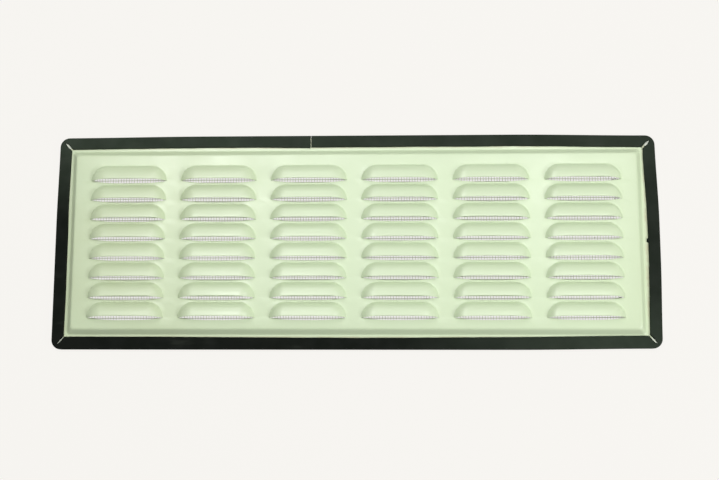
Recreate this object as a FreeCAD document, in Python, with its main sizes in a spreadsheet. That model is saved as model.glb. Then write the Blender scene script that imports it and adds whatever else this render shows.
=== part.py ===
"""Louvred vent panel: a pressed sheet-steel face, the woven wire screen behind it and
the rubber channel that holds both by their edges.

The panel lies on its back.  X runs along its length, Y from its bottom edge to its top
edge, and Z out of its face.  The origin is under the middle of the panel, on the plane
that it lies on.  All lengths are in millimetres and all angles in degrees.
"""
import FreeCAD, Part
import os
import Sketcher

DIMENSIONS = [
    # alias, value, what it sets
    ("overall_length", 700, "outside of the rubber channel, along X"),
    ("overall_width", 250, "outside of the rubber channel, along Y"),
    ("channel_corner", 11, "outside corner radius of the channel"),
    ("channel_cover", 13.9, "how far the channel reaches in from its outside"),
    ("channel_web", 2, "thickness of the channel's outer wall"),
    ("rear_leg", 2, "thickness of the channel's leg behind the screen"),
    ("front_leg", 2, "thickness of the channel's leg on the sheet's flange"),
    ("edge_clearance", 0.5, "gap from the web to the sheet and the screen"),
    ("joint_place", -52, "middle of the butt joint, along X"),
    ("joint_gap", 1, "gap between the strip's two ends"),
    ("notch_reach", 8.3, "how far a corner notch runs out from the window's corner"),
    ("notch_top_left", 1.7, "mouth of this notch, along each of its two edges"),
    ("notch_top_right", 2.4, "the same at the top right"),
    ("notch_bottom_left", 1.2, "the same at the bottom left"),
    ("notch_bottom_right", 1.6, "the same at the bottom right"),
    ("sheet_thickness", 1, "painted steel sheet"),
    ("left_margin", 16.9, "from the channel's outside to the foot of the field's step"),
    ("right_margin", 19.6, "the same on the right"),
    ("rim_margin", 18.05, "the same at the top and the bottom"),
    ("field_rise", 6.5, "from the flange's face to the field's face"),
    ("field_corner", 8, "corner radius at the foot of the step"),
    ("step_lean", 40, "lean of the step's wall from upright"),
    ("louvre_columns", 6, "louvres along X"),
    ("louvre_rows", 8, "louvres along Y"),
    ("column_margin", 23.2, "from the foot of the step to the nearest louvre, along X"),
    ("row_margin", 17.25, "from the foot of the step to the nearest louvre, along Y"),
    ("column_gap", 15.3, "from one louvre's end to the next louvre"),
    ("row_gap", 3, "from one louvre's root to the next louvre's slot"),
    ("louvre_shift_x", 0.5, "middle of the louvres from the field's middle, along X"),
    ("louvre_shift_y", -0.6, "middle of the louvres and their slots, along Y"),
    ("louvre_height", 8.6, "crown of a louvre above the field"),
    ("louvre_taper", 11, "from a louvre's end in to its level crown"),
    ("louvre_overlap", 5, "angle that a louvre is turned on past its root"),
    ("slot_width", 3.6, "open slot in front of a louvre's lip"),
    ("wire_diameter", 0.6, "one wire of the screen"),
    ("screen_columns", 9, "gaps along X"),
    ("screen_rows", 5, "gaps along Y"),
    ("screen_bar", 9, "wires between two gaps"),
]

# Lengths that follow from the driving ones.
DERIVED = [
    ("seat_length", "=overall_length - 2 * (channel_web + edge_clearance)"),
    ("seat_width", "=overall_width - 2 * (channel_web + edge_clearance)"),
    ("seat_corner", "=channel_corner - channel_web - edge_clearance"),
    ("window_length", "=overall_length - 2 * channel_cover"),
    ("window_width", "=overall_width - 2 * channel_cover"),
    ("screen_thickness", "=2 * wire_diameter"),
    ("panel_seat", "=rear_leg + screen_thickness"),
    ("channel_gap", "=screen_thickness + sheet_thickness"),
    ("channel_height", "=rear_leg + channel_gap + front_leg"),
    ("field_length", "=overall_length - left_margin - right_margin"),
    ("field_width", "=overall_width - 2 * rim_margin"),
    ("field_shift", "=(left_margin - right_margin) / 2"),
    ("lining", "=sheet_thickness * (1 - sin(step_lean)) / cos(step_lean)"),
    ("louvre_pitch_x",
     "=(field_length - 2 * column_margin + column_gap) / louvre_columns"),
    ("louvre_pitch_y", "=(field_width - 2 * row_margin + row_gap) / louvre_rows"),
    ("louvre_length", "=louvre_pitch_x - column_gap"),
    ("louvre_depth", "=louvre_pitch_y - slot_width - row_gap"),
    ("louvre_radius", "=(louvre_depth ^ 2 + louvre_height ^ 2) / (2 * louvre_height)"),
    ("axis_drop", "=louvre_radius - louvre_height"),
    ("axis_height", "=field_rise + sheet_thickness - axis_drop"),
    ("end_slant", "=sqrt(louvre_height ^ 2 + louvre_taper ^ 2)"),
    ("outer_foot_x", "=louvre_length / 2"),
    ("outer_foot_y", "=axis_drop"),
    ("outer_crown_x", "=louvre_length / 2 - louvre_taper"),
    ("outer_crown_y", "=louvre_radius"),
    ("inner_foot_x",
     "=outer_foot_x + sheet_thickness * (2 * louvre_taper - end_slant) / louvre_height"),
    ("inner_foot_y", "=axis_drop - 2 * sheet_thickness"),
    ("inner_crown_x",
     "=outer_crown_x - sheet_thickness * (end_slant - louvre_taper) / louvre_height"),
    ("inner_crown_y", "=louvre_radius - sheet_thickness"),
    ("grid_length", "=(louvre_columns - 1) * louvre_pitch_x"),
    ("grid_width", "=(louvre_rows - 1) * louvre_pitch_y"),
    ("first_louvre_x", "=field_shift + louvre_shift_x - grid_length / 2"),
    ("first_louvre_y", "=louvre_shift_y - (grid_width + louvre_depth - slot_width) / 2"),
    ("screen_pitch_x", "=(seat_length - screen_bar) / screen_columns"),
    ("screen_pitch_y", "=(seat_width - screen_bar) / screen_rows"),
]

TOLERANCE = 1e-6

doc = FreeCAD.newDocument("louvred_panel")


def make_sheet():
    """The driving dimensions, and the lengths worked out from them."""
    sheet = doc.addObject("Spreadsheet::Sheet", "Dimensions")
    for row, (alias, value, note) in enumerate(DIMENSIONS, start=1):
        sheet.set(f"A{row}", alias)
        sheet.set(f"B{row}", str(value))
        sheet.set(f"C{row}", note)
        sheet.setAlias(f"B{row}", alias)
    for row, (alias, formula) in enumerate(DERIVED, start=len(DIMENSIONS) + 2):
        sheet.set(f"A{row}", alias)
        sheet.set(f"B{row}", formula)
        sheet.setAlias(f"B{row}", alias)
    doc.recompute()
    return sheet


sheet = make_sheet()


def size(alias):
    return float(sheet.get(alias))


def cell(text):
    """An expression in which @name stands for a cell of the sheet."""
    return text.replace("@", "Dimensions.")


def bind(target, **expressions):
    """Ties properties to expressions, with __ in place of the dot in a property's name."""
    for name, text in expressions.items():
        target.setExpression(name.replace("__", "."), cell(text))


def vector(x, y):
    return FreeCAD.Vector(x, y, 0)


# Sketches

def origin_feature(body, role):
    return next(item for item in body.Origin.OriginFeatures if item.Role == role)


def new_body(label, height):
    """An empty body at the given height, measured in the body that it is cut from, if any."""
    body = doc.addObject("PartDesign::Body", label)
    body.Label = label
    bind(body, Placement__Base__z=height)
    return body


def new_sketch(body, label, plane="XY_Plane", x="0", y="0", z="0"):
    """A sketch on an origin plane of its body, moved by x, y, z in that plane's axes."""
    sketch = body.newObject("Sketcher::SketchObject", label)
    sketch.AttachmentSupport = [(origin_feature(body, plane), "")]
    sketch.MapMode = "FlatFace"
    bind(sketch, AttachmentOffset__Base__x=x, AttachmentOffset__Base__y=y,
         AttachmentOffset__Base__z=z)
    return sketch


def dimension(sketch, name, expression, *constraint):
    """A named constraint whose value follows the sheet."""
    index = sketch.addConstraint(Sketcher.Constraint(*constraint))
    sketch.renameConstraint(index, name)
    sketch.setExpression(f"Constraints.{name}", cell(expression))


def draw_loop(sketch, corners):
    """A closed loop of straight lines."""
    count = len(corners)
    for index, corner in enumerate(corners):
        following = corners[(index + 1) % count]
        sketch.addGeometry(Part.LineSegment(vector(*corner), vector(*following)))
    join_ends(sketch, count)


def join_ends(sketch, count):
    """Each line or arc ends where the next one starts, all the way round."""
    for index in range(count):
        following = (index + 1) % count
        sketch.addConstraint(Sketcher.Constraint("Coincident", index, 2, following, 1))


def rectangle(body, label, length, width, **place):
    """A rectangle centred on the sketch's own origin."""
    sketch = new_sketch(body, label, **place)
    draw_loop(sketch, [(-10, -5), (10, -5), (10, 5), (-10, 5)])
    for index, direction in enumerate(["Horizontal", "Vertical"] * 2):
        sketch.addConstraint(Sketcher.Constraint(direction, index))
    sketch.addConstraint(Sketcher.Constraint("Symmetric", 0, 1, 2, 1, -1, 1))
    dimension(sketch, "length", length, "DistanceX", 0, 1, 0, 2, 20.0)
    dimension(sketch, "width", width, "DistanceY", 1, 1, 1, 2, 10.0)
    return sketch


# Features

def pad(body, label, profile, length):
    feature = body.newObject("PartDesign::Pad", label)
    feature.Profile = profile
    bind(feature, Length=length)
    doc.recompute()
    return feature


def pocket(body, label, profile, length=None):
    """A pocket that runs up from its sketch, by a length or all the way."""
    feature = body.newObject("PartDesign::Pocket", label)
    feature.Profile = profile
    feature.Reversed = True
    if length is None:
        feature.Type = "ThroughAll"
    else:
        bind(feature, Length=length)
    doc.recompute()
    return feature


def turn(body, label, kind, profile):
    """A louvre's section turned about its own axis, down from upright past the root."""
    feature = body.newObject(f"PartDesign::{kind}", label)
    feature.Profile = profile
    feature.ReferenceAxis = (profile, ["H_Axis"])
    feature.Reversed = True
    bind(feature, Angle="acos(@axis_drop / @louvre_radius) + @louvre_overlap * 1 deg")
    doc.recompute()
    return feature


def spans(box, low, high):
    return abs(box.ZMin - low) < TOLERANCE and abs(box.ZMax - high) < TOLERANCE


def round_corners(body, label, low, high, radius, rim=False):
    """Rounds the upright edges from one height to another, on the rim or inside it."""
    base = body.Tip
    names = []
    for index, edge in enumerate(base.Shape.Edges, start=1):
        box = edge.BoundBox
        on_rim = max(abs(box.XMin), abs(box.XMax)) > size("seat_length") / 2 - TOLERANCE
        if spans(box, low, high) and on_rim == rim:
            names.append(f"Edge{index}")
    feature = body.newObject("PartDesign::Fillet", label)
    feature.Base = (base, names)
    bind(feature, Radius=radius)
    doc.recompute()
    return feature


def lean_walls(body, label, low, high):
    """Leans the upright walls between two heights in about their lower edge."""
    base = body.Tip
    walls, floor = [], []
    for index, face in enumerate(base.Shape.Faces, start=1):
        if spans(face.BoundBox, low, high):
            walls.append(f"Face{index}")
        elif spans(face.BoundBox, low, low):
            floor.append(f"Face{index}")
    feature = body.newObject("PartDesign::Draft", label)
    feature.Base = (base, walls)
    feature.NeutralPlane = (base, floor)
    bind(feature, Angle="@step_lean")
    doc.recompute()
    return feature


def cut_away(body, label, tool):
    """Takes another body's solid away from this one."""
    feature = body.newObject("PartDesign::Boolean", label)
    feature.setObjects([tool])
    feature.Type = "Cut"
    doc.recompute()
    return feature


def repeat(body, label, originals, columns, rows):
    """Copies of some features: columns along X and rows along Y, each (count, run)."""
    grid = body.newObject("PartDesign::MultiTransform", label)
    grid.Originals = originals
    steps = []
    for axis, (count, run) in (("X_Axis", columns), ("Y_Axis", rows)):
        step = doc.addObject("PartDesign::LinearPattern", f"{label}_{axis[0]}")
        body.addObject(step)
        step.Direction = (origin_feature(body, axis), [""])
        bind(step, Length=run, Occurrences=count)
        steps.append(step)
    grid.Transformations = steps
    body.Tip = grid
    doc.recompute()
    return grid


# The pressed sheet

def louvre_section(body, label, skin):
    """One louvre's section in the plane of its cut: a level crown and two leaning ends.

    The sketch's own X axis is the axis that the louvre is turned about.  The skin is the
    louvre's "outer" or its "inner" one, and the inner one reaches down past the sheet.
    """
    sketch = new_sketch(body, label, plane="XZ_Plane", x="@first_louvre_x",
                        y="@axis_height", z="-@first_louvre_y")
    foot = (size(f"{skin}_foot_x"), size(f"{skin}_foot_y"))
    crown = (size(f"{skin}_crown_x"), size(f"{skin}_crown_y"))
    draw_loop(sketch, [foot, crown, (-crown[0], crown[1]), (-foot[0], foot[1])])
    sketch.addConstraint(Sketcher.Constraint("Symmetric", 0, 1, 3, 1, -2))
    sketch.addConstraint(Sketcher.Constraint("Symmetric", 1, 1, 2, 1, -2))
    for line, (name, place) in enumerate((("foot", foot), ("crown", crown))):
        dimension(sketch, f"{name}_x", f"@{skin}_{name}_x",
                  "DistanceX", -1, 1, line, 1, place[0])
        dimension(sketch, f"{name}_y", f"@{skin}_{name}_y",
                  "DistanceY", -1, 1, line, 1, place[1])
    return sketch


def raise_block(body, name, inset, floor, floor_height):
    """A block with rounded corners and leaning walls, as tall as the field's rise."""
    outline = rectangle(body, f"{name}Outline", f"@field_length - 2 * {inset}",
                        f"@field_width - 2 * {inset}", x="@field_shift", z=floor)
    pad(body, name, outline, "@field_rise")
    top = floor_height + size("field_rise")
    round_corners(body, f"{name}Corners", floor_height, top, f"@field_corner - {inset}")
    lean_walls(body, f"{name}Step", floor_height, top)


def make_louvre_panel():
    """The flange, the raised field and the louvres, all of one sheet."""
    punch = new_body("field_back", "0")
    raise_block(punch, "Back", "@lining", "0", 0)

    body = new_body("louvre_panel", "@panel_seat")
    louvre_grid = (("@louvre_columns", "@grid_length"), ("@louvre_rows", "@grid_width"))
    flange = rectangle(body, "FlangeOutline", "@seat_length", "@seat_width")
    pad(body, "Flange", flange, "@sheet_thickness")
    round_corners(body, "FlangeCorners", 0, size("sheet_thickness"), "@seat_corner", rim=True)
    raise_block(body, "Field", "0", "@sheet_thickness", size("sheet_thickness"))
    outside = louvre_section(body, "LouvreOutside", "outer")
    louvre = turn(body, "Louvre", "Revolution", outside)
    repeat(body, "Louvres", [louvre], *louvre_grid)

    cut_away(body, "HollowField", punch)
    inside = louvre_section(body, "LouvreInside", "inner")
    hollow = turn(body, "LouvreHollow", "Groove", inside)
    opening = rectangle(body, "SlotOutline", "@louvre_length", "@slot_width",
                        x="@first_louvre_x", y="@first_louvre_y - @slot_width / 2")
    slot = pocket(body, "Slot", opening)
    repeat(body, "LouvreOpenings", [hollow, slot], *louvre_grid)
    return body


# The screen and the channel

def make_mesh_screen():
    """The screen as one wall with its gaps: upright wires in front, level ones behind."""
    body = new_body("mesh_screen", "@rear_leg")
    wall = rectangle(body, "WallOutline", "@seat_length", "@seat_width")
    pad(body, "Wall", wall, "@screen_thickness")
    round_corners(body, "WallCorners", 0, size("screen_thickness"), "@seat_corner", rim=True)
    gap = rectangle(body, "GapOutline", "@screen_pitch_x - @screen_bar",
                    "@screen_pitch_y - @screen_bar",
                    x="-@seat_length / 2 + (@screen_pitch_x + @screen_bar) / 2",
                    y="-@seat_width / 2 + (@screen_pitch_y + @screen_bar) / 2")
    first = pocket(body, "Gap", gap)
    repeat(body, "Gaps", [first],
           ("@screen_columns", "@screen_pitch_x * (@screen_columns - 1)"),
           ("@screen_rows", "@screen_pitch_y * (@screen_rows - 1)"))
    return body


def notch(body, label, mouth, right, up):
    """One corner notch: open at the window's corner and pointed towards the outside."""
    sketch = new_sketch(body, f"{label}Outline")
    corner = (right * size("window_length") / 2, up * size("window_width") / 2)
    open_by, reach = size(mouth), size("notch_reach")
    points = [
        ("side", (corner[0], corner[1] - up * open_by), "0", f"@{mouth}"),
        ("tip", (corner[0] + right * reach, corner[1] + up * reach),
         "-@notch_reach", "-@notch_reach"),
        ("top", (corner[0] - right * open_by, corner[1]), f"@{mouth}", "0"),
    ]
    draw_loop(sketch, [place for _, place, _, _ in points])
    for index, (name, place, short_x, short_y) in enumerate(points):
        dimension(sketch, f"{name}_x", f"{right} * (@window_length / 2 - {short_x})",
                  "DistanceX", -1, 1, index, 1, place[0])
        dimension(sketch, f"{name}_y", f"{up} * (@window_width / 2 - {short_y})",
                  "DistanceY", -1, 1, index, 1, place[1])
    return pocket(body, label, sketch)


def make_edge_seal():
    """The rubber channel: one strip bent round four notched corners, its ends butted."""
    filling = new_body("seat_space", "@rear_leg")
    seat = rectangle(filling, "SeatOutline", "@overall_length - 2 * @channel_web",
                     "@overall_width - 2 * @channel_web")
    pad(filling, "Seat", seat, "@channel_gap")
    round_corners(filling, "SeatCorners", 0, size("channel_gap"),
                  "@channel_corner - @channel_web", rim=True)

    body = new_body("edge_seal", "0")
    outline = rectangle(body, "SealOutline", "@overall_length", "@overall_width")
    pad(body, "Seal", outline, "@channel_height")
    round_corners(body, "SealCorners", 0, size("channel_height"), "@channel_corner", rim=True)
    window = rectangle(body, "WindowOutline", "@window_length", "@window_width")
    pocket(body, "Window", window)
    cut_away(body, "HollowSeat", filling)
    for label, mouth, right, up in (("NotchTopLeft", "notch_top_left", -1, 1),
                                    ("NotchTopRight", "notch_top_right", 1, 1),
                                    ("NotchBottomLeft", "notch_bottom_left", -1, -1),
                                    ("NotchBottomRight", "notch_bottom_right", 1, -1)):
        notch(body, label, mouth, right, up)
    joint = rectangle(body, "JointOutline", "@joint_gap", "2 * @channel_cover",
                      x="@joint_place", y="@overall_width / 2")
    pocket(body, "Joint", joint)
    return body


def check(bodies):
    """Stops when a feature failed, a cut took nothing away, or a solid is not sound."""
    for item in doc.Objects:
        if {"Invalid", "Error"} & set(item.State):
            raise RuntimeError(f"{item.Name}: {item.getStatusString()}")
        if item.TypeId in ("PartDesign::Pocket", "PartDesign::Groove"):
            if item.Shape.Volume > item.BaseFeature.Shape.Volume - TOLERANCE:
                raise RuntimeError(f"{item.Name} cuts nothing")
    for body in bodies:
        if body.Shape.isNull() or not body.Shape.isValid() or len(body.Shape.Solids) != 1:
            raise RuntimeError(f"{body.Label} is not one sound solid")


bodies = [make_louvre_panel(), make_mesh_screen(), make_edge_seal()]
doc.recompute()
check(bodies)
os.makedirs("parts", exist_ok=True)
for body in bodies:
    body.Shape.exportStep(f"parts/{body.Label}.step")
    print(body.Label, round(body.Shape.Volume, 1), body.Shape.BoundBox)
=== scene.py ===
"""The looks of the louvred vent panel: painted pressed sheet, woven wire and rubber channel.

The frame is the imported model's own: X along the panel, Y towards its top edge and Z out of
its louvred face, from under its middle.  Lengths are in millimetres until a mesh is made, and
in metres in the materials and on the stage.
"""

import math
import random

import bpy
import numpy as np
from mathutils import Matrix, Vector
from mathutils.geometry import delaunay_2d_cdt


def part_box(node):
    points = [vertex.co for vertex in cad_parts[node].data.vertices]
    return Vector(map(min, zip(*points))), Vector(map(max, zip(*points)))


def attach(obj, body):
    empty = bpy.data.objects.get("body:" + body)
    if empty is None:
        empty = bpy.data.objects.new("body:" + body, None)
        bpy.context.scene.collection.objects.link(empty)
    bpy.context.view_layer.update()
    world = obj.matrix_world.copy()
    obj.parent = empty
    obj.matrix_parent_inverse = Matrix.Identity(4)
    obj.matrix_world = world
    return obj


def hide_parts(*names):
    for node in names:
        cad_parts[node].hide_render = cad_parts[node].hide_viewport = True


MM = 0.001

# How far the rim's corners lie inside a true rectangle: the corner's side in X and in Y,
# and how far it lies in along each.  It grows between two distances from the middle.
DRAWN_IN = ((1, 1, 2.4, 1.9), (1, -1, 1.5, 1.5), (-1, 1, 1.2, 1.2))
DRAWN_X, DRAWN_Y = (180, 350), (20, 125)

# Parts that a rounded rectangle is divided into: each corner, long side and short side
CORNER_PARTS, LONG_PARTS, SHORT_PARTS = 7, 40, 14

# The pressed sheet's flange, its step and its raised field
SHEET = 1.0                                # thickness
SHEET_CORNER = 8.5                         # corner radius of the rim
FIELD_RISE = 6.5                           # from the flange's face to the field's
FOOT_LEFT, FOOT_RIGHT = -332.6, 330.8      # the step's foot, along X
FOOT_Y = 106.95                            # the same above and below the middle
LOWER_STEP_EXTRA = 1.0                     # how much wider the step's lower side is
STEP_CORNER = 4.2                          # its corner radius at every height
STEP_LEAN = math.radians(40)               # from upright
BROW_BEND, FOOT_BEND = 3.4, 2.4            # bend radii at its top and at its foot
BEND_PARTS = 5

# The louvres.  Each is cut along the line between its opening's ends, and is drawn up from
# there to its root.  On a louvre, u runs right from its middle and v up from its cut.
COLUMNS, ROWS = 6, 8
PITCH_X, PITCH_Y = 105.4, 22.8
GRID_X = -0.85                             # middle of the columns
CUT_Y = -88.6                              # cut of the lowest row
HALF_LENGTH = 45.0
REACH = 18.5                               # from the cut to the root, and round the ends
OPEN_LEFT, OPEN_RIGHT = 42.2, 43.8         # the opening's ends from the louvre's middle
LIP_BOW, SLOT_BOW = 1.5, 3.0               # how far the lip bows up and the slot's edge down
SLOT_LIFT = 0.32                           # how high the slot's edge is raised in the middle
CROWN = 8.6                                # height of the dome above the field
ROOT, SHOULDER = 17.5, 0.45                # where the dome comes down, and how squarely
SOFTNESS, ROOT_TAIL = 0.4, 0.065           # how softly it meets the field
MOST_SINK, MOST_LEAN = 0.04, 0.02          # how uneven the pressing is, as shares of a height
HALO_REACH, HALO_RISE = 5.5, 0.34          # raised metal outside the louvre's upper corners
HALO_INSIDE = 4.0                          # and how far it reaches back into the dome
SKIRT = 0.55                               # strip round the root that has no halo
END_RAYS, STRAIGHT_RAYS, RAY_EASE = 14, 18, 1.15
DOME_STEPS = (0, .035, .13, .26, .39, .51, .62, .72, .81, .88, .93, .965, 1.0)
HALO_STEPS = (0.35, 0.7, 1.0)
SLOT_PARTS = 16

# The screen
WIRE = 0.6
MESH_PITCH = 3.175
WIRE_STRAY = 0.12                          # how far a wire lies off its place

# Crumbs of dirt caught in it: the louvre's column and row from the top left, and the place
# along its opening.  A crumb's sections are heights above the screen's middle and widths.
CRUMBS = ((6, 1, 36.5), (6, 1, 39.0), (6, 1, 42.0), (6, 2, 38.0), (6, 2, 40.5), (6, 2, 42.5),
          (6, 4, 13.6), (6, 7, 40.0), (6, 7, 41.5))
CRUMB_UP, CRUMB_DOWN_A_ROW = 1.5, 0.15
CRUMB_SIDES = 7
CRUMB_SECTIONS = ((-0.25, 0.7), (0.1, 1.0), (0.4, 0.55))

# The rubber channel
CORNER = 11.0                              # outside corner radius
COVER = 13.9                               # how far its legs reach in
LOWER_COVER_EXTRA = 0.9                    # more than that towards the bottom strip's ends
LEG, WEB = 2.0, 2.0                        # thicknesses
LEG_ROUNDING, ROUNDING_PARTS = 0.7, 3
ROUNDING_BORDER = 1.05                     # where a leg's flat face begins
MITRE_LIMIT = 0.55                         # cosine below which a corner isn't mitred
JOINT_X, JOINT_GAP = -52.0, 1.0
JOINT_FLARE, JOINT_FLARE_LENGTH = 0.8, 25  # the strip widens towards its joint, on the left
NOTCH_REACH = 8.3
NOTCH_WIDTHS = ((0.16, 0.72), (0.4, 0.9), (0.62, 0.85), (0.83, 0.5))
# Each notch's side in X and in Y and the width of its mouth, clockwise from the top right
NOTCHES = ((1, 1, 2.9), (1, -1, 2.3), (-1, -1, 1.9), (-1, 1, 2.5))
TEAR = ((0.0, 2.6), (-1.2, 2.1), (-1.3, -1.9), (0.0, -2.4))  # in the right strip's edge
SIDE_SPACING = 14.0                        # of points along its straight sides
WAVE_LENGTHS, WAVE_FADE = (350, 160, 70), 0.55
LEVEL_WAVE, UPRIGHT_WAVE = 0.28, 0.3       # how wavy the strips' edges are

# The stage: each lamp's name, place, target, size and power
LAMPS = (
    ("overhead", (0, 0.4, 2.1), (0, 0, 0), (1.75, 1.2), 6.0),
    ("key", (0.75, 0.62, 2.0), (0, 0, 0), (0.8, 0.7), 4.0),
    ("left_sheen", (-0.48, 0.6, 1.9), (-0.12, 0, 0), (0.42, 0.5), 12.2),
    ("right_sheen", (0.48, 0.5, 1.9), (0.2, 0, 0), (0.3, 0.3), 3.6),
    ("right_side", (1.25, -0.55, 0.95), (0.25, 0, 0), (0.5, 0.5), 10.8),
    ("back", (-0.3, 1.3, 1.5), (0, 0, 0), (0.6, 0.6), 6.3),
)
FLOOR_REACH = 6000.0
BACKGROUND = (246, 244, 240)


def srgb(red, green, blue):
    """A colour given in display values, as a linear one."""
    def linear(value):
        value /= 255
        return value / 12.92 if value <= 0.04045 else ((value + 0.055) / 1.055) ** 2.4
    return (linear(red), linear(green), linear(blue), 1.0)


# Materials

class Shader:
    """A material being wired up."""

    def __init__(self, name):
        self.material = bpy.data.materials.new(name)
        self.material.use_nodes = True
        self.tree = self.material.node_tree
        self.tree.nodes.clear()
        self.position = self.node("ShaderNodeTexCoord").outputs["Object"]

    def node(self, kind, **settings):
        made = self.tree.nodes.new(kind)
        for name, value in settings.items():
            setattr(made, name, value)
        return made

    def put(self, socket, value):
        """Links an output to a socket, or sets the socket to a plain value."""
        if isinstance(value, bpy.types.NodeSocket):
            self.tree.links.new(value, socket)
        else:
            socket.default_value = value

    def math(self, operation, first, second=0.0):
        made = self.node("ShaderNodeMath", operation=operation)
        self.put(made.inputs[0], first)
        self.put(made.inputs[1], second)
        return made.outputs[0]

    def noise(self, scale, detail, roughness, place=None):
        made = self.node("ShaderNodeTexNoise")
        self.put(made.inputs["Vector"], place or self.position)
        made.inputs["Scale"].default_value = scale
        made.inputs["Detail"].default_value = detail
        made.inputs["Roughness"].default_value = roughness
        return made.outputs["Fac"]

    def stretch(self, x, y, z):
        """The position, scaled along each axis."""
        made = self.node("ShaderNodeVectorMath", operation="MULTIPLY")
        self.put(made.inputs[0], self.position)
        made.inputs[1].default_value = (x, y, z)
        return made.outputs[0]

    def ramp(self, value, low, high, to_low=0.0, to_high=1.0):
        """The value's place between low and high, mapped softly to the other pair."""
        made = self.node("ShaderNodeMapRange", interpolation_type="SMOOTHSTEP")
        self.put(made.inputs["Value"], value)
        made.inputs["From Min"].default_value = low
        made.inputs["From Max"].default_value = high
        made.inputs["To Min"].default_value = to_low
        made.inputs["To Max"].default_value = to_high
        return made.outputs["Result"]

    def mix(self, factor, first, second):
        """A mix of two colours, whose sockets come after those of the node's other modes."""
        made = self.node("ShaderNodeMix", data_type="RGBA")
        self.put(made.inputs["Factor"], factor)
        self.put(made.inputs[6], first)
        self.put(made.inputs[7], second)
        return made.outputs[2]

    def axes(self):
        made = self.node("ShaderNodeSeparateXYZ")
        self.put(made.inputs[0], self.position)
        return made.outputs

    def bump(self, height, distance, strength, normal=None):
        made = self.node("ShaderNodeBump")
        made.inputs["Strength"].default_value = strength
        made.inputs["Distance"].default_value = distance
        self.put(made.inputs["Height"], height)
        if normal is not None:
            self.put(made.inputs["Normal"], normal)
        return made.outputs[0]

    def principled(self, **values):
        made = self.node("ShaderNodeBsdfPrincipled")
        for name, value in values.items():
            self.put(made.inputs[name.replace("_", " ")], value)
        return made.outputs[0]

    def finish(self, surface):
        out = self.node("ShaderNodeOutputMaterial")
        self.put(out.inputs["Surface"], surface)
        return self.material


def paint_material():
    """Pale green semi-gloss paint, stained by the rubber and still clean in its notches."""
    s = Shader("painted_sheet")
    x, y, _ = s.axes()
    # Duller, yellower paint towards both ends, in blotches: painted shade over the left half
    # and the right end
    ends = s.math("MAXIMUM", s.ramp(x, 0.02, -0.33), s.ramp(x, 0.26, 0.37, 0.0, 0.6))
    blotches = s.ramp(s.noise(9.0, 3.0, 0.55), 0.25, 0.75, 0.35, 1.0)
    painted_end_shade = s.math("MULTIPLY", ends, blotches)
    colour = s.mix(painted_end_shade, srgb(214, 230, 194), srgb(205, 218, 180))
    mottle = s.ramp(s.noise(38.0, 4.0, 0.6), 0.3, 0.75, 0.0, 0.10)
    colour = s.mix(mottle, colour, srgb(222, 233, 206))
    # The strip of flange between the rubber and the step, which lies left of the middle
    beside = s.math("MAXIMUM",
                    s.ramp(s.math("ABSOLUTE", s.math("ADD", x, 0.00135)), 0.3325, 0.3362),
                    s.ramp(s.math("ABSOLUTE", y), 0.1085, 0.1115))
    patches = s.ramp(s.noise(60.0, 3.0, 0.6), 0.3, 0.7, 0.15, 0.6)
    colour = s.mix(s.math("MULTIPLY", beside, patches), colour, srgb(178, 166, 132))
    # Clean paint where the rubber's notches uncover it
    covered = s.math("MULTIPLY", s.ramp(s.math("ABSOLUTE", x), 0.3355, 0.3365),
                     s.ramp(s.math("ABSOLUTE", y), 0.1105, 0.1115))
    colour = s.mix(covered, colour, srgb(224, 229, 212))
    rough = s.ramp(s.noise(22.0, 3.0, 0.6), 0.25, 0.8, 0.28, 0.40)
    waves = s.bump(s.noise(7.0, 1.0, 0.4), 0.004, 0.35)
    peel = s.bump(s.noise(420.0, 2.0, 0.5), 0.00018, 0.35, waves)
    return s.finish(s.principled(Base_Color=colour, Roughness=rough, Normal=peel))


def wire_material():
    """Galvanised wire with patches of dust.  Its pale greenish colour is painted light,
    standing in for the light that reaches it under the louvres.
    """
    s = Shader("wire_mesh")
    dust = s.ramp(s.noise(45.0, 4.0, 0.65), 0.35, 0.7)
    # Both tones are pale and greenish as painted light; the lighter one is where the dust lies
    colour = s.mix(dust, srgb(216, 229, 188), srgb(232, 240, 206))
    rough = s.ramp(s.noise(160.0, 2.0, 0.5), 0.3, 0.7, 0.38, 0.58)
    grain = s.bump(s.noise(2500.0, 2.0, 0.5), 0.00004, 0.4)
    return s.finish(s.principled(Base_Color=colour, Roughness=rough, Normal=grain))


def dirt_material():
    """Dark caked dirt."""
    s = Shader("dirt")
    clots = s.ramp(s.noise(900.0, 3.0, 0.6), 0.35, 0.65)
    colour = s.mix(clots, srgb(22, 20, 15), srgb(52, 47, 36))
    grain = s.bump(s.noise(3000.0, 3.0, 0.6), 0.0001, 0.6)
    return s.finish(s.principled(Base_Color=colour, Roughness=0.9, Normal=grain))


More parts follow.
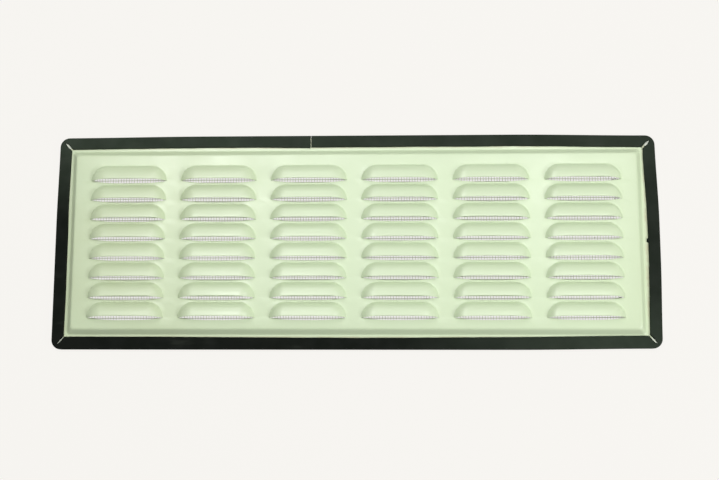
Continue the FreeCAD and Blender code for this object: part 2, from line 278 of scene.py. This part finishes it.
def rubber_material():
    """Black rubber, paler on its top and right strips and at the right of its bottom strip."""
    s = Shader("rubber")
    x, y, _ = s.axes()
    # Paler on the top and right strips and at the right of the bottom strip, in patches
    top = s.math("MULTIPLY", s.ramp(y, 0.02, 0.118), s.ramp(x, -0.25, 0.1, 1.0, 0.72))
    bottom = s.math("MULTIPLY", s.ramp(y, -0.02, -0.118), s.ramp(x, 0.0, 0.3, 0.0, 0.85))
    right = s.ramp(x, 0.29, 0.345, 0.0, 0.32)
    paler_strips = s.math("MAXIMUM", s.math("MAXIMUM", top, bottom), right)
    paler_strips = s.math("MULTIPLY", paler_strips, s.ramp(s.noise(30.0, 4.0, 0.6), 0.25, 0.75, 0.7, 1.0))
    colour = s.mix(paler_strips, srgb(9, 15, 8), srgb(50, 60, 48))
    streaks = s.noise(70.0, 3.0, 0.6, s.stretch(0.25, 1.0, 1.0))
    colour = s.mix(s.ramp(streaks, 0.58, 0.78, 0.0, 0.22), colour, srgb(62, 67, 58))
    rough = s.ramp(s.noise(55.0, 3.0, 0.6), 0.3, 0.7, 0.55, 0.72)
    grain = s.bump(s.noise(900.0, 3.0, 0.6), 0.00006, 0.5)
    return s.finish(s.principled(Base_Color=colour, Roughness=rough, Normal=grain,
                                 Specular_IOR_Level=0.12))


def floor_material():
    """A pale floor whose own colour shows to the camera, with the object's soft shadow."""
    s = Shader("floor")
    pale = srgb(*BACKGROUND)
    path = s.node("ShaderNodeLightPath").outputs
    seen = s.math("MAXIMUM", path["Is Camera Ray"], path["Is Glossy Ray"])
    seen = s.math("MAXIMUM", seen, path["Is Transmission Ray"])
    glow = s.node("ShaderNodeEmission")
    s.put(glow.inputs["Color"], pale)
    glow.inputs["Strength"].default_value = 0.965
    shade = s.node("ShaderNodeBsdfDiffuse")
    s.put(shade.inputs["Color"], tuple(0.045 * part for part in pale[:3]) + (1.0,))
    both = s.node("ShaderNodeAddShader")
    s.put(both.inputs[0], glow.outputs[0])
    s.put(both.inputs[1], shade.outputs[0])
    plain = s.node("ShaderNodeBsdfDiffuse")
    s.put(plain.inputs["Color"], srgb(200, 199, 196))
    surface = s.node("ShaderNodeMixShader")
    s.put(surface.inputs[0], seen)
    s.put(surface.inputs[1], plain.outputs[0])
    s.put(surface.inputs[2], both.outputs[0])
    return s.finish(surface.outputs[0])


# Helpers for shapes

def make_object(name, points, faces, material, smooth_faces=None):
    """A mesh object from points in millimetres, smooth all over unless told otherwise."""
    mesh = bpy.data.meshes.new(name)
    mesh.from_pydata((np.asarray(points, float) * MM).tolist(), [], faces)
    mesh.materials.append(material)
    mesh.polygons.foreach_set("use_smooth", smooth_faces or [True] * len(faces))
    mesh.update()
    made = bpy.data.objects.new(name, mesh)
    bpy.context.scene.collection.objects.link(made)
    return made


class Surface:
    """Points and faces, with points at the same place shared."""

    def __init__(self):
        self.points, self.faces, self.index = [], [], {}

    def add(self, x, y, z):
        key = (round(x, 4), round(y, 4), round(z, 4))
        if key not in self.index:
            self.index[key] = len(self.points)
            self.points.append((x, y, z))
        return self.index[key]

    def face(self, *corners):
        kept = [c for k, c in enumerate(corners) if c != corners[k - 1]]
        if len(set(kept)) > 2:
            self.faces.append(kept)

    def grid(self, rows):
        """Quads between rows of indices that have the same count."""
        for low, high in zip(rows, rows[1:]):
            for k in range(len(low) - 1):
                self.face(low[k], low[k + 1], high[k + 1], high[k])


def ease(value, low, high):
    """0 up to the low value, 1 from the high one, with a soft rise between."""
    share = min(1.0, max(0.0, (value - low) / (high - low)))
    return share * share * (3 - 2 * share)


def draw_in(x, y):
    """A point of the rim, moved in as far as the nearest corner asks."""
    moved_x, moved_y = x, y
    for side_x, side_y, in_x, in_y in DRAWN_IN:
        share = ease(side_x * x, *DRAWN_X) * ease(side_y * y, *DRAWN_Y)
        moved_x -= side_x * in_x * share
        moved_y -= side_y * in_y * share
    return moved_x, moved_y


def ring(low_x, high_x, low_y, high_y, radius):
    """A rounded rectangle as points, anticlockwise from the right of its bottom side."""
    turns = [(high_x - radius, low_y + radius, -90), (high_x - radius, high_y - radius, 0),
             (low_x + radius, high_y - radius, 90), (low_x + radius, low_y + radius, 180)]
    arcs = []
    for centre_x, centre_y, start in turns:
        angles = [math.radians(start + 90 * k / CORNER_PARTS) for k in range(CORNER_PARTS + 1)]
        arcs.append([(centre_x + radius * math.cos(angle), centre_y + radius * math.sin(angle))
                     for angle in angles])
    points = []
    for k, arc in enumerate(arcs):
        points += arc
        parts = LONG_PARTS if k % 2 else SHORT_PARTS
        (from_x, from_y), (to_x, to_y) = arc[-1], arcs[(k + 1) % 4][0]
        points += [(from_x + (to_x - from_x) * part / parts,
                    from_y + (to_y - from_y) * part / parts) for part in range(1, parts)]
    return points


# The pressed sheet

def louvre_place(column, row):
    """The middle of a louvre's cut, counted from 0 at the bottom left."""
    return GRID_X + (column - (COLUMNS - 1) / 2) * PITCH_X, CUT_Y + row * PITCH_Y


def dome_height(distance):
    """Height above the field at a distance from the louvre's axis, with a soft root."""
    share = distance / ROOT
    raw = CROWN * (1 - (1 - SHOULDER) * share ** 2 - SHOULDER * share ** 6)
    return max(0.0, (raw + math.sqrt(raw ** 2 + 4 * SOFTNESS ** 2)) / 2 - ROOT_TAIL)


def halo_share(past, reach):
    """The halo's share at a distance past the root, which is negative inside the dome."""
    if past < 0:
        return max(0.0, 1 + past / HALO_INSIDE) ** 2
    return max(0.0, 1 - past / reach) ** 2 if reach else 0.0


def bow(u, power):
    """How far the opening has widened at a place along it, from 0 at its ends to 1."""
    end = OPEN_LEFT if u < 0 else OPEN_RIGHT
    return max(0.0, 1 - abs(u / end) ** power)


def louvre_rays():
    """The lines from lip to root: where each starts and ends, its way out and its halo."""
    straight = HALF_LENGTH - REACH
    right = []
    for k in range(END_RAYS):
        turn = (k / END_RAYS) ** RAY_EASE * math.pi / 2
        right.append((straight + REACH * (1 - math.sin(turn)),
                      straight + REACH * math.cos(turn), REACH * math.sin(turn),
                      math.cos(turn), math.sin(turn), math.sin(2 * turn)))
    middle = [(u, u, REACH, 0.0, 1.0, 0.0)
              for u in np.linspace(straight, -straight, STRAIGHT_RAYS + 1)]
    left = [(-lip_u, -root_u, root_v, -out_u, out_v, halo)
            for lip_u, root_u, root_v, out_u, out_v, halo in reversed(right)]
    return right + middle + left


def add_louvre(sheet, rays, across, up, top, sink, lean):
    """One louvre's skin.  Returns its outline on the field, as indices, from its right."""
    straight = HALF_LENGTH - REACH
    columns = []
    for lip_u, root_u, root_v, out_u, out_v, halo in rays:
        lip_v = LIP_BOW * bow(lip_u, 4)
        reach = max(HALO_REACH * halo, SKIRT * out_v)
        places = [(lip_u + (root_u - lip_u) * share, lip_v + (root_v - lip_v) * share)
                  for share in DOME_STEPS]
        places += [(root_u + out_u * reach * share, root_v + out_v * reach * share)
                   for share in HALO_STEPS]
        column = []
        for u, v in places:
            distance = math.hypot(max(abs(u) - straight, 0.0), v)
            height = dome_height(distance) * (1 - sink - lean * u / HALF_LENGTH)
            height += HALO_RISE * halo * halo_share(distance - REACH, reach)
            column.append(sheet.add(across + u, up + v, top + height))
        columns.append(column)
    sheet.grid(list(zip(*columns))[::-1])
    return [column[-1] for column in columns]


def step_profile(top, flange):
    """The step's section, from the field down: how far out from its foot line, how high."""
    slope = math.pi / 2 - STEP_LEAN
    run = (top - flange) / math.tan(slope)
    brow = -run - BROW_BEND * math.tan(slope / 2)
    foot = FOOT_BEND * math.tan(slope / 2)
    turns = [slope * k / BEND_PARTS for k in range(BEND_PARTS + 1)]
    points = [(brow + BROW_BEND * math.sin(turn), top - BROW_BEND * (1 - math.cos(turn)))
              for turn in turns]
    points += [(foot - FOOT_BEND * math.sin(turn), flange + FOOT_BEND * (1 - math.cos(turn)))
               for turn in reversed(turns)]
    return points


def slot_edge(sheet, across, up, top):
    """The points of the slot's lower edge, from its left, without its ends."""
    places = [HALF_LENGTH * (2 * k / SLOT_PARTS - 1) for k in range(1, SLOT_PARTS)]
    return [sheet.add(across + u, up - SLOT_BOW * bow(u, 3), top + SLOT_LIFT * bow(u, 2))
            for u in places]


def add_field(sheet, boundary, holes):
    """Triangles over the flat of the field, inside its boundary and outside its holes."""
    loops = [boundary] + holes
    used = sorted({point for loop in loops for point in loop})
    place = {point: k for k, point in enumerate(used)}
    flat = [Vector(sheet.points[point][:2]) for point in used]
    edges = [(place[one], place[two]) for loop in loops
             for one, two in zip(loop, loop[1:] + loop[:1]) if one != two]
    regions = [[place[point] for point in loop] for loop in loops]
    # Output type 1 keeps the triangles inside the regions.  Those of the boundary alone,
    # which is region 0, are the field.
    _, _, triangles, sources, _, inside = delaunay_2d_cdt(flat, edges, regions, 1, 1e-5, True)
    for triangle, region in zip(triangles, inside):
        if region == [0]:
            sheet.face(*[used[sources[corner][0]] for corner in triangle])


def point_normals(points, faces):
    """Each point's normal: those of the faces round it, weighted by their angles."""
    normals = np.zeros_like(points)
    for face in faces:
        for k, corner in enumerate(face):
            before = points[face[k - 1]] - points[corner]
            after = points[face[(k + 1) % len(face)]] - points[corner]
            normal = np.cross(after, before)
            size = np.linalg.norm(normal)
            if size > 1e-12:
                angle = math.atan2(size, before @ after)
                normals[corner] += normal / size * angle
    return normals / np.maximum(np.linalg.norm(normals, axis=1), 1e-9)[:, None]


def thicken(surface, thickness, sharp_up_to):
    """The skin, its copy further in along its normals, and the walls along its free edges.

    A wall up to a height has outer points of its own, which makes its edge sharp.  Above it
    the wall shares the skin's points, and the smooth shading rounds its edge.
    """
    points = np.array(surface.points)
    behind = points - point_normals(points, surface.faces) * thickness
    edges = dict.fromkeys((corner, face[(k + 1) % len(face)])
                          for face in surface.faces for k, corner in enumerate(face))
    free = [edge for edge in edges if edge[::-1] not in edges]
    rim = sorted({corner for edge in free for corner in edge})
    sharp = [corner for corner in rim if points[corner][2] < sharp_up_to]
    total = len(points)
    inner = {corner: 2 * total + k for k, corner in enumerate(rim)}
    outer = {corner: corner for corner in rim}
    outer.update({corner: 2 * total + len(rim) + k for k, corner in enumerate(sharp)})
    faces = [list(face) for face in surface.faces]
    faces += [[corner + total for corner in reversed(face)] for face in surface.faces]
    faces += [[outer[two], outer[one], inner[one], inner[two]] for one, two in free]
    return np.vstack([points, behind, behind[rim], points[sharp]]), faces


def make_sheet(material):
    low, high = (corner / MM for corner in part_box("louvre_panel"))
    flange = low.z + SHEET
    top = flange + FIELD_RISE
    sheet = Surface()
    profile = step_profile(top, flange)
    brow, foot = profile[0][0], profile[-1][0]
    rings = []
    for out, height in profile:
        lower = FOOT_Y + out + LOWER_STEP_EXTRA * (out - brow) / (foot - brow)
        loop = ring(FOOT_LEFT - out, FOOT_RIGHT + out, -lower, FOOT_Y + out, STEP_CORNER)
        rings.append([sheet.add(x, y, height) for x, y in loop])
    loop = ring(low.x, high.x, low.y, high.y, SHEET_CORNER)
    rings.append([sheet.add(*draw_in(x, y), flange) for x, y in loop])
    sheet.grid([loop + loop[:1] for loop in reversed(rings)])
    rays = louvre_rays()
    chance = random.Random(8)
    outlines = []
    for column in range(COLUMNS):
        for row in range(ROWS):
            place = louvre_place(column, row)
            sink = chance.uniform(0.0, MOST_SINK)
            lean = chance.uniform(-MOST_LEAN, MOST_LEAN)
            outlines.append(
                (place, add_louvre(sheet, rays, *place, top, sink + abs(lean), lean)))
    holes = [outline + slot_edge(sheet, *place, top) for place, outline in outlines]
    add_field(sheet, rings[0], holes)
    points, faces = thicken(sheet, SHEET, top + SLOT_LIFT + 0.01)
    made = make_object("pressed_sheet", points, faces, material)
    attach(made, "root")
    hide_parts("louvre_panel")


# The screen

def wire_places(low, high):
    """Places at the mesh's pitch, centred between two edges."""
    count = int((high - low - WIRE) / MESH_PITCH) + 1
    first = (low + high - (count - 1) * MESH_PITCH) / 2
    return [first + k * MESH_PITCH for k in range(count)]


def make_wires(name, run, spread, middle, parity, along_x, material):
    """One set of the weave's wires, each bent over and under the other set.

    A wire runs from one end of run to the other, and the wires are spread over spread.
    """
    stations = [run[0]] + wire_places(*run) + [run[1]]
    centres = wire_places(*spread)
    chance = random.Random(3 + parity)
    points, faces = [], []
    half = WIRE / 2
    for line, centre in enumerate(centres):
        if 0 < line < len(centres) - 1:
            centre += chance.uniform(-WIRE_STRAY, WIRE_STRAY)
        start = len(points)
        for k, station in enumerate(stations):
            inside = 0 < k < len(stations) - 1
            lift = half * (-1) ** (line + k + parity) if inside else 0.0
            for side, rise in ((-half, 0), (0, half), (half, 0), (0, -half)):
                place = (station, centre + side) if along_x else (centre - side, station)
                points.append((*draw_in(*place), middle + lift + rise))
        for k in range(len(stations) - 1):
            near, far = start + 4 * k, start + 4 * (k + 1)
            for side in range(4):
                other = (side + 1) % 4
                faces.append([near + side, near + other, far + other, far + side])
        faces.append([start + 3, start + 2, start + 1, start])
        end = start + 4 * (len(stations) - 1)
        faces.append([end, end + 1, end + 2, end + 3])
    made = make_object(name, points, faces, material)
    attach(made, "root")
    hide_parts("mesh_screen")


def make_crumbs(middle, material):
    """Little dark lumps that sit on the mesh in the openings of the last column."""
    chance = random.Random(4)
    points, faces = [], []
    sides = CRUMB_SIDES
    for column, row, along in CRUMBS:
        x, y = louvre_place(column - 1, ROWS - row)
        x += along
        y += CRUMB_UP - CRUMB_DOWN_A_ROW * row + chance.uniform(-0.6, 0.1)
        wide, deep = chance.uniform(0.7, 1.1), chance.uniform(0.5, 0.75)
        start = len(points)
        for height, spread in CRUMB_SECTIONS:
            for k in range(sides):
                turn = math.tau * k / sides
                size = spread * chance.uniform(0.8, 1.15)
                points.append((x + wide * size * math.cos(turn),
                               y + deep * size * math.sin(turn), middle + height))
        end = len(points) - sides
        for level in range(start, end, sides):
            for k in range(sides):
                near, far = level + k, level + (k + 1) % sides
                faces.append([near, far, far + sides, near + sides])
        faces.append([start + k for k in reversed(range(sides))])
        faces.append([end + k for k in range(sides)])
    made = make_object("screen_crumbs", points, faces, material)
    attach(made, "root")
    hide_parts("mesh_screen")


def make_screen(material):
    low, high = (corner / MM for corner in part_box("mesh_screen"))
    middle = (low.z + high.z) / 2
    across, up = (low.x, high.x), (low.y, high.y)
    make_wires("screen_level_wires", across, up, middle, 0, True, material)
    make_wires("screen_upright_wires", up, across, middle, 1, False, material)
    make_crumbs(middle, dirt_material())


# The rubber channel

def joined(*stretches):
    """Stretches of points with straight sides between them, divided evenly."""
    points = []
    for stretch, following in zip(stretches, stretches[1:]):
        start, end = stretch[-1], following[0]
        parts = max(1, round((end - start).length / SIDE_SPACING))
        points += stretch[:-1] + [start.lerp(end, k / parts) for k in range(parts)]
    return points + stretches[-1]


def notch_points(window, right, up, mouth):
    """A leaf-shaped slit from its mouth's side end out to its tip and back to the level end."""
    corner = Vector((right * window.x, up * window.y))
    out = Vector((right, up)) * NOTCH_REACH
    aside = Vector((right, -up)) * mouth / math.sqrt(8)
    there = [corner + out * place + aside * width for place, width in NOTCH_WIDTHS]
    back = [corner + out * place - aside * width for place, width in reversed(NOTCH_WIDTHS)]
    side_end = corner - Vector((0, up * mouth / 2))
    level_end = corner - Vector((right * mouth / 2, 0))
    return [side_end] + there + [corner + out] + back + [level_end]


def wave(place, seed, size):
    """A slow wander along a strip, which is the same for the same seed."""
    chance = random.Random(seed)
    total = 0.0
    for length in WAVE_LENGTHS:
        total += math.sin(place / length * math.tau + chance.uniform(0, 6.3)) * size
        size *= WAVE_FADE
    return total


def worn(point, window):
    """A point of the strip's inner edge, moved to where cutting and wear have left it.

    Opposite strips take different stretches of the same wave.
    """
    x, y = point
    if y < 0:
        ends = ease(abs(x), 60, 260) * (1 - ease(abs(x), window.x - 4, window.x + 6))
        y += LOWER_COVER_EXTRA * ease(-y, 90, window.y) * ends
    if abs(y) > window.y - 0.01 and abs(x) < window.x - 4:
        y += math.copysign(wave(x + 700 * (y > 0), 5, LEVEL_WAVE), y)
        if y > 0 and x < JOINT_X:
            y -= JOINT_FLARE * math.exp((x - JOINT_X) / JOINT_FLARE_LENGTH)
    if abs(x) > window.x - 0.01 and abs(y) < window.y - 4:
        x += wave(y + 300 * (x > 0), 9, UPRIGHT_WAVE)
    return x, y


def channel_outline(length, width):
    """The strip's plan as one closed loop: outside, joint, inside with its notches."""
    rim = Vector((length, width)) / 2
    window = rim - Vector((COVER, COVER))
    left_end, right_end = JOINT_X - JOINT_GAP / 2, JOINT_X + JOINT_GAP / 2
    arcs = []
    for right, up, start in ((-1, 1, 90), (-1, -1, 180), (1, -1, 270), (1, 1, 0)):
        centre = Vector((right * (rim.x - CORNER), up * (rim.y - CORNER)))
        turns = [math.radians(start + 90 * k / 8) for k in range(9)]
        arcs.append([centre + CORNER * Vector((math.cos(turn), math.sin(turn)))
                     for turn in turns])
    outside = joined([Vector((left_end, rim.y))], *arcs, [Vector((right_end, rim.y))])
    notches = [notch_points(window, *notch) for notch in NOTCHES]
    notches[0].reverse()
    notches[2].reverse()
    tear = [Vector((window.x + x, y)) for x, y in TEAR]
    inside = joined([Vector((right_end, window.y))], notches[0], tear, *notches[1:],
                    [Vector((left_end, window.y))])
    inside = [worn(point, window) for point in inside]
    return [Vector(draw_in(*point)) for point in outside + inside]


def inset(loop, amount):
    """The loop moved into the rubber, which lies on its left."""
    count = len(loop)
    moved = []
    for k in range(count):
        before, here, after = loop[k - 1], loop[k], loop[(k + 1) % count]
        one, two = (here - before).normalized(), (after - here).normalized()
        first, second = Vector((-one.y, one.x)), Vector((-two.y, two.x))
        middle = first + second
        if middle.length < 1e-6:
            middle = first
        middle.normalize()
        cosine = middle @ first
        reach = 1 / cosine if cosine > MITRE_LIMIT else 1.0
        moved.append(here + middle * amount * reach)
    return moved


def leg(outline, low, high, round_top):
    """A leg with its outer face's rim rounded: points, faces and which faces are smooth."""
    levels = [(0.0, low if round_top else high)]
    for k in range(ROUNDING_PARTS + 1):
        turn = math.pi / 2 * k / ROUNDING_PARTS
        rise = LEG_ROUNDING * math.sin(turn)
        height = high - LEG_ROUNDING + rise if round_top else low + LEG_ROUNDING - rise
        levels.append((LEG_ROUNDING * (1 - math.cos(turn)), height))
    levels.append((ROUNDING_BORDER, levels[-1][1]))
    points, faces, smooth_faces = [], [], []
    count = len(outline)
    for amount, height in levels:
        points += [(p.x, p.y, height) for p in (inset(outline, amount) if amount else outline)]
    for level in range(len(levels) - 1):
        for k in range(count):
            a, b = level * count + k, level * count + (k + 1) % count
            quad = [a, b, b + count, a + count]
            faces.append(quad if round_top else quad[::-1])
            smooth_faces.append(level > 0)
    first = list(range(count))
    last = [(len(levels) - 1) * count + k for k in range(count)]
    faces += [first[::-1], last] if round_top else [first, last[::-1]]
    smooth_faces += [False, False]
    return points, faces, smooth_faces


def make_channel(material):
    low, high = (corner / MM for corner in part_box("edge_seal"))
    outline = channel_outline(high.x - low.x, high.y - low.y)
    points, faces, smooth_faces = [], [], []
    for part in (leg(outline, high.z - LEG, high.z, True),
                 leg(outline, low.z, low.z + LEG, False)):
        start = len(points)
        points += part[0]
        faces += [[corner + start for corner in face] for face in part[1]]
        smooth_faces += part[2]
    # The web between the legs, outside and inside
    outer = ring(low.x, high.x, low.y, high.y, CORNER)
    inner = ring(low.x + WEB, high.x - WEB, low.y + WEB, high.y - WEB, CORNER - WEB)
    count = len(outer)
    start = len(points)
    for loop in (outer, inner):
        for height in (low.z + LEG, high.z - LEG):
            points += [(*draw_in(x, y), height) for x, y in loop]
    for k in range(count):
        a, b = start + k, start + (k + 1) % count
        faces.append([a, b, b + count, a + count])
        c, d = a + 2 * count, b + 2 * count
        faces.append([d, c, c + count, d + count])
        smooth_faces += [False, False]
    made = make_object("rubber_channel", points, faces, material, smooth_faces)
    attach(made, "root")
    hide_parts("edge_seal")


# The stage

def make_floor():
    side = FLOOR_REACH
    plan = [(-side, -side, 0), (side, -side, 0), (side, side, 0), (-side, side, 0)]
    floor = make_object("floor", plan, [(0, 1, 2, 3)], floor_material())


def aim(thing, target, roll=0.0):
    """Turns a lamp or the camera to the target, with +Y up in its picture."""
    back = (thing.location - Vector(target)).normalized()
    right = Vector((0, 1, 0)).cross(back).normalized()
    turn = Matrix((right, back.cross(right), back)).transposed()
    thing.rotation_euler = (turn @ Matrix.Rotation(roll, 3, "Z")).to_euler()


def make_lamp(name, place, target, size, power):
    data = bpy.data.lights.new(name, "AREA")
    data.shape = "RECTANGLE"
    data.size, data.size_y = size
    data.energy = power
    lamp = bpy.data.objects.new(name, data)
    lamp.location = place
    aim(lamp, target)
    bpy.context.scene.collection.objects.link(lamp)


def make_world():
    """A dim even light, in whose place the camera sees the pale background."""
    world = bpy.data.worlds.new("studio")
    world.use_nodes = True
    tree = world.node_tree
    tree.nodes.clear()
    out = tree.nodes.new("ShaderNodeOutputWorld")
    path = tree.nodes.new("ShaderNodeLightPath")
    lit = tree.nodes.new("ShaderNodeBackground")
    lit.inputs["Color"].default_value = (0.96, 0.98, 1.0, 1.0)
    lit.inputs["Strength"].default_value = 0.12
    pale = tree.nodes.new("ShaderNodeBackground")
    pale.inputs["Color"].default_value = srgb(*BACKGROUND)
    mix = tree.nodes.new("ShaderNodeMixShader")
    tree.links.new(path.outputs["Is Camera Ray"], mix.inputs[0])
    tree.links.new(lit.outputs[0], mix.inputs[1])
    tree.links.new(pale.outputs[0], mix.inputs[2])
    tree.links.new(mix.outputs[0], out.inputs["Surface"])
    bpy.context.scene.world = world


def make_camera():
    data = bpy.data.cameras.new("camera")
    data.lens = 51.07
    data.sensor_width = 36.0
    data.clip_start, data.clip_end = 0.05, 30.0
    camera = bpy.data.objects.new("camera", data)
    camera.location = (0.0449, -0.1599, 1.1739)
    aim(camera, (0.0051, 0.0020, 0.0), roll=math.radians(0.105))
    bpy.context.scene.collection.objects.link(camera)
    bpy.context.scene.camera = camera


def corners(pair):
    return [[round(value, 6) for value in corner] for corner in pair]


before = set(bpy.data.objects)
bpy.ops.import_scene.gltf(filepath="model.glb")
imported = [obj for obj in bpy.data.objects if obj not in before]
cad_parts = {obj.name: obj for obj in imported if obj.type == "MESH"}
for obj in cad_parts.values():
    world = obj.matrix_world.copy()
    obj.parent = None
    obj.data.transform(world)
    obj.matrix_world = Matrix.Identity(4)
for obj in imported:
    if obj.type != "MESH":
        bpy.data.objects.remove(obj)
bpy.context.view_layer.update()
make_sheet(paint_material())
make_screen(wire_material())
make_channel(rubber_material())
make_floor()
for lamp in LAMPS:
    make_lamp(*lamp)
make_world()
make_camera()
bpy.context.scene.view_settings.view_transform = "Standard"
bpy.context.view_layer.update()
